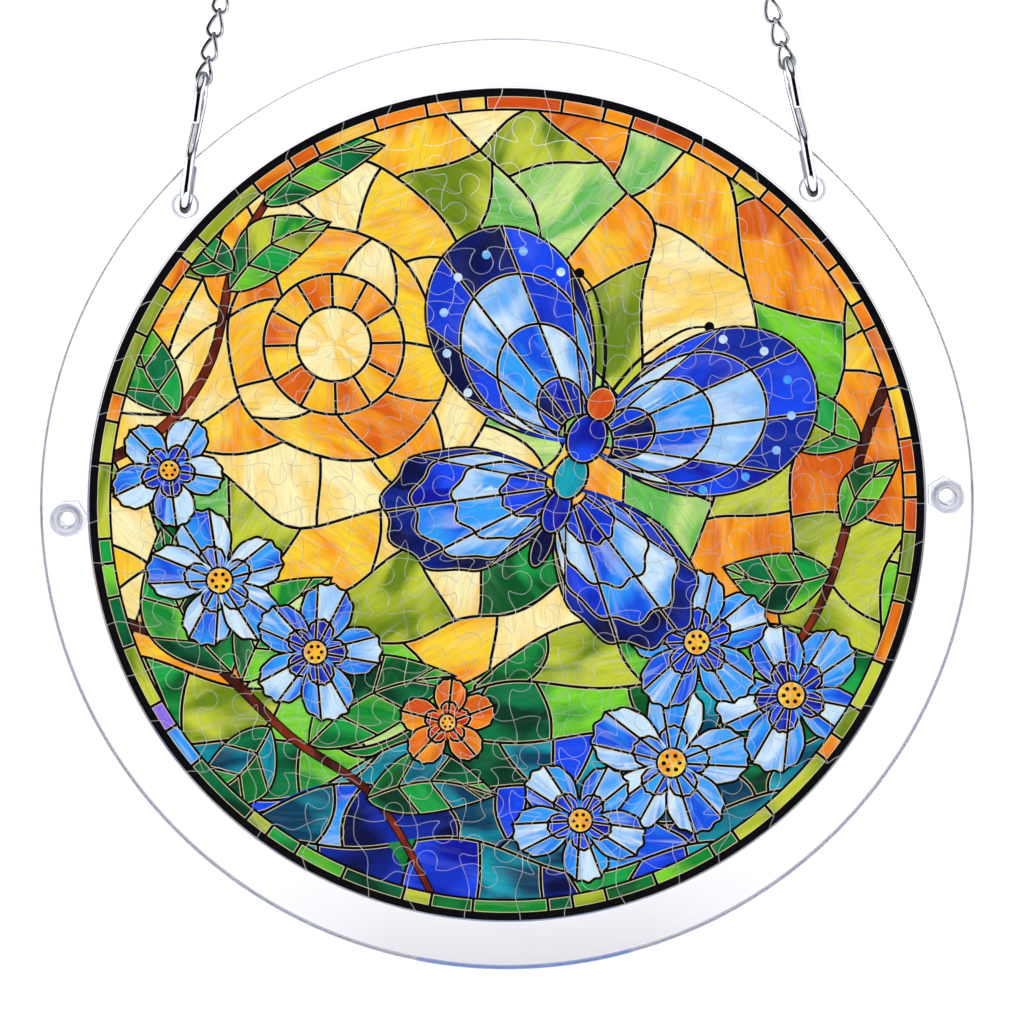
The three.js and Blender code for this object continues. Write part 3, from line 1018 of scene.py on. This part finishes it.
def printed_piece(name, outline):
    """One sawn piece: the printed faces front and back, their broken edges and the sawn wall."""
    outer = grow(outline, -KERF / 2)
    inner = grow(outer, -CHAMFER)
    low, high = outer.min(0), outer.max(0)
    points = [tuple(p) for p in outer] + [tuple(p) for p in inner]
    edges = chain_edges(len(outer)) + chain_edges(len(inner), len(outer))
    for k in overlapping(segment_low, segment_high, low, high):
        edges.append((len(points), len(points) + 1))
        points += [tuple(segment_start[k]), tuple(segment_end[k])]
    corners, triangles = triangulate(points, edges)
    middles = corners[triangles].mean(1)
    kept = inside(middles, [outer])
    triangles, middles = triangles[kept], middles[kept]
    top_layer = np.zeros(len(middles), int)
    for layer in overlapping(layer_low, layer_high, low, high):
        top_layer[inside(middles, layers[layer][0])] = layer
    broken = ~inside(middles, [inner])
    used, triangles = np.unique(triangles, return_inverse=True)
    triangles = triangles.reshape(-1, 3)
    corners = corners[used]
    rim = open_edges(triangles)
    depth = np.full(len(corners), HALF_PUZZLE)
    depth[[a for a, b in rim]] -= CHAMFER_DEPTH
    x, z = corners[:, 0], corners[:, 1] + DISC_Z
    vertices = joined((np.stack((x, -depth, z), 1), np.stack((x, depth, z), 1)))
    count = len(corners)
    faces = triangles.tolist() + (triangles[:, ::-1] + count).tolist()
    faces += [(b, a, a + count, b + count) for a, b in rim]
    piece = add_mesh(name, vertices.tolist(), faces, PRINT)
    mesh = piece.data
    mesh.materials.append(SAWN)
    sawn = joined((np.zeros(2 * len(triangles), bool), np.ones(len(rim), bool)))
    mesh.polygons.foreach_set("material_index", sawn.astype(np.int32))
    paints = paint_table[top_layer]
    bleached = np.array([BROKEN_PALE] * 3 + [0.0] + [BROKEN_PALE] * 3 + [0.0])
    paints[broken] += (1 - paints[broken]) * bleached
    wall = np.ones((len(rim), 4))
    for attribute, columns in (("ink", paints[:, :4]), ("ink_second", paints[:, 4:])):
        layer = mesh.attributes.new(attribute, "FLOAT_COLOR", "FACE")
        layer.data.foreach_set("color", joined((columns, columns, wall)).ravel())
    flows = np.zeros((len(triangles), 3, 3))
    for layer in np.unique(top_layer):
        chosen = top_layer == layer
        flows[chosen] = flow_of(corners[triangles[chosen]], layer)
    wall_flow = np.zeros((4 * len(rim), 3))
    flows = joined((flows.reshape(-1, 3), flows[:, ::-1].reshape(-1, 3), wall_flow))
    mesh.attributes.new("flow", "FLOAT_VECTOR", "CORNER").data.foreach_set("vector", flows.ravel())
    return piece


def build_puzzle():
    share = PIECES_ACROSS // SECTIONS
    for i, j, outline in puzzle_pieces():
        piece = printed_piece(f"puzzle_piece_row_{PIECES_ACROSS - j}_column_{i + 1}", outline)
        dress(piece, "printed_acrylic", section_names[j // share, i // share])


# The clear stack, screws and nuts


DRILLED_AREA = 50.0  # square millimetres: the walls of smaller holes are left frosted by the drill
PAINTED_BLUE_EDGE_SHARE = 0.972  # the rim's cut face carries a painted bluish reflection below this share of the disc's radius


def clear_slab(node, outer, holes, y_low, y_high, material, slot, centre=(0.0, 0.0), edge=EDGE_BREAK):
    """A flat piece with through holes, and every edge broken. It stands for its node."""
    contours = [outer] + holes
    breaks = [edge] + [POCKET_BREAK if turned_area(hole) > DRILLED_AREA else HOLE_BREAK for hole in holes]
    shrunk = [grow(outer, -edge)] + [grow(hole, size) for hole, size in zip(holes, breaks[1:])]
    points, edges = [], []
    for contour in shrunk:
        edges += chain_edges(len(contour), len(points))
        points += [tuple(p) for p in contour]
    corners, triangles = triangulate(points, edges)
    triangles = triangles[inside(corners[triangles].mean(1), shrunk)]
    count = len(corners)
    vertices = [(x, y, z) for y in (y_low, y_high) for x, z in corners]
    faces = triangles.tolist() + (triangles[:, ::-1] + count).tolist()
    flat_faces = len(faces)
    finishes = []
    ring_start = 0
    for contour, size in zip(contours, breaks):
        total = len(contour)
        walls = np.zeros(total, int)
        if material is ACRYLIC and contour is outer:
            walls[:] = 1
            # Faces low on the rim take the painted blue reflection.
            walls[contour[:, 1] < PAINTED_BLUE_EDGE_SHARE * contour[:, 1].min()] = 3
        elif material is ACRYLIC and turned_area(contour) < DRILLED_AREA:
            walls[:] = 2
        finishes += np.repeat(walls, 3).tolist()
        ring = [ring_start + k for k in range(total)]
        ring_start += total
        first = len(vertices)
        vertices += [(x, y, z) for y in (y_low + size, y_high - size) for x, z in contour]
        turn = 1 if contour is outer else -1
        for k in range(total):
            n = (k + 1) % total
            quads = (
                (ring[n], ring[k], first + k, first + n),
                (first + n, first + k, first + total + k, first + total + n),
                (first + total + n, first + total + k, ring[k] + count, ring[n] + count),
            )
            faces += [quad[::turn] for quad in quads]
    vertices = [(x + centre[0], y, z + centre[1] + DISC_Z) for x, y, z in vertices]
    slab = add_mesh(f"{node}_piece", vertices, faces, material)
    for finish in (CUT_EDGE, DRILLED, PAINTED_BLUE_EDGE) if material is ACRYLIC else ():
        slab.data.materials.append(finish)
    slab.data.polygons.foreach_set("material_index", [0] * flat_faces + finishes)
    dress(slab, slot, node)
    return slab


def build_clear_stack():
    rim = circle(DISC_R, 256)
    holes = [circle(HOLE_R, 48, (side * HOLE_PLACE[0], HOLE_PLACE[1])) for _, side in SIDES]
    holes += [circle(SCREW_HOLE_R, 40, (side * SCREW_X, 0.0)) for _, side in SIDES]
    for name in ("front_cover", "spacer_ring", "back_cover"):
        low, high = span_mm(name)
        pocket = [circle(POCKET_R, 256)] if name == "spacer_ring" else []
        film = AIR_FILM if name == "spacer_ring" else 0.0
        clear_slab(name, rim, pocket + holes, low[1] + film, high[1] - film, ACRYLIC, "clear_acrylic")


def screw_profile(tail):
    """Radius and depth along a pan-head screw, from its head's top to its threaded end."""
    head = -HALF_STACK - HEAD_H
    profile = [(0, head)]
    for k in range(9):
        angle = radians(90 * k / 8)
        radius = HEAD_R * (HEAD_FLAT + (1 - HEAD_FLAT) * sin(angle))
        profile.append((radius, head + HEAD_H * HEAD_ROUND * (1 - cos(angle))))
    profile += [(HEAD_R, -HALF_STACK - 0.1), (HEAD_R - 0.15, -HALF_STACK), (SHANK_R, -HALF_STACK)]
    y = -HALF_STACK + THREAD_PITCH
    while y < tail - THREAD_PITCH:
        profile += [(SHANK_R, y), (SHANK_R - THREAD_DEPTH, y + THREAD_PITCH / 2)]
        y += THREAD_PITCH
    return profile + [(SHANK_R, y), (SHANK_R - 0.35, tail), (0, tail)]


def cut_recess(screw, x):
    """Cuts the cross into the screw's head."""
    arm, half = RECESS_ARM, RECESS_W / 2
    cross = [(arm, -half), (arm, half), (half, half), (half, arm), (-half, arm), (-half, half)]
    cross += [(-px, -pz) for px, pz in cross]
    top, floor = -HALF_STACK - HEAD_H - 1, -HALF_STACK - HEAD_H + RECESS_DEPTH
    vertices = [(px + x, top, pz + DISC_Z) for px, pz in cross]
    vertices += [(px * 0.6 + x, floor, pz * 0.6 + DISC_Z) for px, pz in cross]
    total = len(cross)
    faces = [tuple(range(total)), tuple(reversed(range(total, 2 * total)))]
    faces += [((k + 1) % total, k, total + k, total + (k + 1) % total) for k in range(total)]
    cutter = add_mesh("recess_cutter", vertices, faces, NYLON)
    cut = screw.modifiers.new("recess", "BOOLEAN")
    cut.object = cutter
    cut.solver = "EXACT"
    graph = bpy.context.evaluated_depsgraph_get()
    mesh = bpy.data.meshes.new_from_object(screw.evaluated_get(graph))
    screw.modifiers.clear()
    screw.data = mesh
    bpy.data.objects.remove(cutter)


def build_screws():
    for side_name, side in SIDES:
        tail = span_mm(f"screw_{side_name}")[1][1]
        vertices, faces = lathe(screw_profile(tail), 48)
        screw = add_mesh(f"screw_{side_name}_piece", vertices, faces, NYLON)
        place_mesh(screw, Matrix.Translation((side * SCREW_X, 0, DISC_Z)))
        cut_recess(screw, side * SCREW_X)
        dress(screw, "clear_nylon", f"screw_{side_name}")
        low, high = span_mm(f"nut_{side_name}")
        corner_r = NUT_FLATS / sqrt(3)
        turns = np.radians(NUT_TURNS[side_name] + 60 * np.arange(6))
        bore = [circle(SCREW_HOLE_R, 40)]
        centre = (side * SCREW_X, 0.0)
        hexagon = corner_r * polar(turns)
        depths = low[1], high[1]
        clear_slab(f"nut_{side_name}", hexagon, bore, *depths, NYLON, "clear_nylon", centre, NUT_BREAK)


# The hooks, chains and ring


def hook_path():
    """The S-hook's middle line in its own plane, from its back tip to its front one."""
    keys = [Vector((0, HOOK_LOOP_R, BACK_TIP_Z))]

    def add_bend(centre_z, side):
        for k in range(9):
            angle = side * pi * k / 8
            keys.append(Vector((0, HOOK_LOOP_R * cos(angle), centre_z + HOOK_LOOP_R * sin(angle))))

    add_bend(0, -1)
    keys.append(Vector((0, -HOOK_LOOP_R, SHAFT_Z)))
    keys.append(Vector((0, 0, (SHAFT_Z + HOOK_UPPER_Z) / 2)))
    add_bend(HOOK_UPPER_Z, 1)
    keys.append(Vector((0, -HOOK_LOOP_R, FRONT_TIP_Z)))
    return curve_through(keys, 6)


def link_path(lower_turn, upper_turn):
    """The middle line of one link, long in Z from 0, and turned about Z from its lower to its upper end."""
    radius = (LINK_WIDTH - LINK_WIRE) / 2
    run = LINK_LENGTH - LINK_WIRE
    stretch = run / 2 - radius
    path = []
    for k in range(40):
        angle = 2 * pi * k / 40
        x = radius * cos(angle)
        z = radius * sin(angle) + stretch * max(-1.0, min(1.0, 3 * sin(angle)))
        turn = radians(lower_turn + (upper_turn - lower_turn) * (z / run + 0.5))
        path.append(Vector((x * cos(turn), x * sin(turn), z + run / 2)))
    return path


def build_metal():
    ring_low, ring_high = span_mm("hanging_ring")
    ring_z = (ring_low[2] + ring_high[2]) / 2
    around = [2 * pi * k / 96 for k in range(96)]
    path = [Vector((RING_R * cos(a), 0, ring_z + RING_R * sin(a))) for a in around]
    ring = add_mesh("hanging_ring_piece", *tube(path, RING_WIRE / 2, 24, True), STEEL, True)
    dress(ring, "polished_steel", "hanging_ring")
    inner_r = RING_R - RING_WIRE / 2
    for side_name, side in SIDES:
        hook = add_mesh(f"s_hook_{side_name}_piece", *tube(hook_path(), HOOK_WIRE / 2, 24), STEEL, True)
        lean = -side * radians(HOOK_LEAN)
        low, high = span_mm(f"s_hook_{side_name}")
        reach = HOOK_UPPER_Z / 2
        centre = Vector(((low[0] + high[0]) / 2, 0, (low[2] + high[2]) / 2))
        centre -= Vector((reach * sin(lean), 0, reach * cos(lean)))
        place_mesh(hook, Matrix.Translation(centre) @ Matrix.Rotation(lean, 4, "Y"))
        dress(hook, "polished_steel", f"s_hook_{side_name}")

        foot = Vector((side * CHAIN_FOOT[0], 0, DISC_Z + CHAIN_FOOT[1]))
        toward = Vector((0, 0, ring_z)) - foot
        lean = atan2(toward.x, toward.z)
        run = LINK_LENGTH - LINK_WIRE
        pitch = (toward.length - CHAIN_SEAT + inner_r - LINK_WIRE / 2 - run) / (LINKS - 1)
        vertices, faces = [], []
        for k in range(LINKS):
            points, quads = tube(link_path(0.0, -LINK_TWIST), LINK_WIRE / 2, 12, True)
            lift = Vector((0, 0, CHAIN_SEAT + k * pitch))
            faces += [tuple(v + len(vertices) for v in quad) for quad in quads]
            vertices += [p + lift for p in points]
        chain = add_mesh(f"chain_{side_name}_piece", vertices, faces, CHAIN_STEEL, True)
        place_mesh(chain, Matrix.Translation(foot) @ Matrix.Rotation(lean, 4, "Y"))
        dress(chain, "polished_steel", f"chain_{side_name}")


# The camera

LENS = 150.0
SENSOR = 36.0
IMAGE = 1024.0  # pixels each way
DISC_PIXEL = (507.1, 506.9)  # the disc's centre in the photograph
DISC_PIXELS = 932.0  # the disc's width there
CAMERA_RISE = radians(5.0)
CAMERA_ROLL = radians(1.5)


def build_camera():
    data = bpy.data.cameras.new("camera")
    data.lens = LENS
    data.sensor_width = SENSOR
    data.clip_start = 0.05
    data.clip_end = 100
    camera = bpy.data.objects.new("camera", data)
    bpy.context.collection.objects.link(camera)
    per_pixel = 2 * DISC_R / DISC_PIXELS
    distance = per_pixel * IMAGE * LENS / SENSOR
    right = (IMAGE / 2 - DISC_PIXEL[0]) * per_pixel
    down = (IMAGE / 2 - DISC_PIXEL[1]) * per_pixel
    target = Vector((right, 0, DISC_Z - down))
    away = Vector((0, -cos(CAMERA_RISE), sin(CAMERA_RISE)))
    look = (-away).to_track_quat("-Z", "Y").to_matrix().to_4x4()
    place = Matrix.Translation((target + away * distance) * MM)
    camera.matrix_world = place @ look @ Matrix.Rotation(-CAMERA_ROLL, 4, "Z")
    bpy.context.scene.camera = camera


# The world: white behind and around, with a studio's dark and bright zones for gloss alone

LIGHT_ON_PRINT = 2.2  # for matt surfaces
LIGHT_SEEN = 1.35  # straight on and through the clear pieces
LIGHT_BELOW = 1.1  # the faint grey that the clear pieces show low down
LIGHT_ON_STEEL = 1.6


def window(nodes, value, low, high, soft):
    """One where the value lies between low and high, fading to zero past both ends."""
    rise = nodes.remap(value, low - soft, low)
    fall = nodes.remap(value, high, high + soft, 1.0, 0.0)
    return nodes.math("MULTIPLY", rise, fall)


def steel_studio(nodes, sideways, depth, height):
    """What gloss outside the clear pieces shows: a dark strip in front, pale sides, stripes high and low."""
    strip = window(nodes, sideways, -0.56, 0.56, 0.12)
    ahead = nodes.remap(depth, 0.2, 0.5, 1.0, 0.0)
    studio = nodes.mix(nodes.math("MULTIPLY", strip, ahead), linear("f2f3f6"), linear("08090b"))
    slanting = nodes.remap(nodes.math("ABSOLUTE", height), 0.52, 0.66)
    stripes = nodes.remap(nodes.math("SINE", nodes.math("MULTIPLY", height, 11.0)), -0.3, 0.4)
    studio = nodes.mix(slanting, studio, nodes.mix(stripes, linear("c4c6ca"), linear("2e3035")))
    return nodes.mix(nodes.remap(depth, 0.62, 0.80), studio, linear("5c5f66"))


def edge_studio(nodes, direction, sideways, depth, height):
    """What shows where light is turned back inside the clear pieces: grey, bluish high up, dark in front."""
    coarse = nodes.noise(direction, 16.0, 1.0)
    tint = nodes.mix(nodes.remap(coarse, 0.35, 0.65), linear("a2a3a9"), linear("d2d3d9"))
    blue = nodes.mix(nodes.remap(coarse, 0.4, 0.6), linear("5c7ed4"), linear("a6bcf0"))
    tint = nodes.mix(nodes.remap(height, 0.12, 0.18), tint, blue)
    pastel = nodes.mix(nodes.remap(coarse, 0.45, 0.55), linear("b6b2e0"), linear("fbdccb"))
    tint = nodes.mix(window(nodes, sideways, 0.08, 0.18, 0.02), tint, pastel)
    return nodes.mix(nodes.remap(depth, -0.96, -0.86, 1.0, 0.0), tint, linear("50525a"))


def build_world():
    world = bpy.data.worlds.new("studio")
    world.use_nodes = True
    world.cycles.sampling_method = "NONE"
    bpy.context.scene.world = world
    nodes = Nodes(world.node_tree)
    direction = nodes.add("TexCoord").outputs["Generated"]
    axes = nodes.add("SeparateXYZ", in0=direction).outputs
    paths = nodes.add("LightPath").outputs
    glossy = nodes.math("GREATER_THAN", paths["Glossy Depth"], 0.5)
    direct = nodes.math("LESS_THAN", paths["Diffuse Depth"], 0.5)
    within = nodes.math("GREATER_THAN", paths["Transmission Depth"], 0.5)

    def light(colour, strength):
        return nodes.add("Background", Color=colour, Strength=strength).outputs[0]

    def choice(factor, first, second):
        return nodes.add("MixShader", in0=factor, in1=first, in2=second).outputs[0]

    white = light(linear("ffffff"), nodes.remap(direct, 0, 1, LIGHT_ON_PRINT, LIGHT_SEEN))
    low = nodes.math("MULTIPLY", within, nodes.remap(axes[2], -0.165, -0.195))
    low = nodes.math("MULTIPLY", low, window(nodes, axes[0], -0.03, 0.03, 0.045))
    low = nodes.math("MULTIPLY", low, direct)
    plain = choice(low, white, light(linear("f3f1f2"), LIGHT_BELOW))
    steel = light(steel_studio(nodes, *axes), LIGHT_ON_STEEL)
    edges = light(edge_studio(nodes, direction, *axes), 1.0)
    both = choice(nodes.math("MULTIPLY", glossy, direct), plain, choice(within, steel, edges))
    nodes.add("OutputWorld", Surface=both)


FLOOR_DROP = 300.0  # below the disc's centre
FLOOR_R = 450.0


def build_floor():
    """A pale disc below the hanging object, outside the photograph's view."""
    edge = [(x, 0.0, z) for x, z in circle(FLOOR_R, 96)]
    vertices = [(x, y, DISC_Z - FLOOR_DROP) for x, _, y in edge]
    floor = add_mesh("floor", vertices, [tuple(range(len(vertices)))], floor_material())


build_camera()
build_puzzle()
build_clear_stack()
build_screws()
build_metal()
build_world()
build_floor()
bpy.context.scene.view_settings.view_transform = "Standard"
